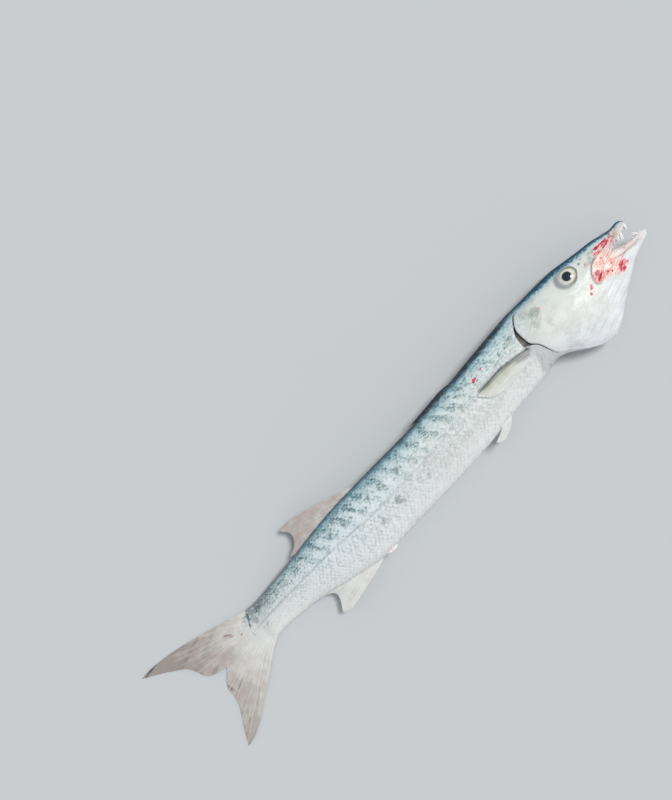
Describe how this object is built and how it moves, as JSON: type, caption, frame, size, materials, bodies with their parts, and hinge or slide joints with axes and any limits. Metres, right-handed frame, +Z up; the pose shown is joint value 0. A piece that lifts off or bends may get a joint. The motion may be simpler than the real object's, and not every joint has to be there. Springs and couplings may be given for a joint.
{
  "type": "great barracuda, still model",
  "caption": "Life-size great barracuda lying on its left side, jaws parted over fang-like teeth, with forked tail, folded first dorsal fin and spread rear fins.",
  "frame": {"origin": "on the surface that the fish lies on, under the middle of its box", "axes": "+X towards the head, +Y towards the back of the fish, +Z up, out of its right flank"},
  "size_m": [0.9705, 0.1849, 0.0786],
  "materials": {
    "flank_skin": "wet silver scales, satin",
    "belly_skin": "smooth white skin, satin",
    "fin_membrane": "thin translucent membrane over rays",
    "eye": "clear and glossy"
  },
  "bodies": {
    "root": {"head": "flank_skin", "lower_jaw": "belly_skin", "throat": "belly_skin", "trunk_front": "flank_skin", "trunk_rear": "flank_skin", "tail_stem": "flank_skin", "gill_cover_right": "flank_skin", "gill_cover_left": "flank_skin", "eye_right": "eye", "eye_left": "eye", "tail_fin_upper_lobe": "fin_membrane", "tail_fin_lower_lobe": "fin_membrane", "dorsal_fin_first": "fin_membrane", "dorsal_fin_second": "fin_membrane", "anal_fin": "fin_membrane", "pelvic_fin_right": "fin_membrane", "pelvic_fin_left": "fin_membrane", "pectoral_fin_right": "fin_membrane", "pectoral_fin_left": "fin_membrane"}
  },
  "joints": []
}
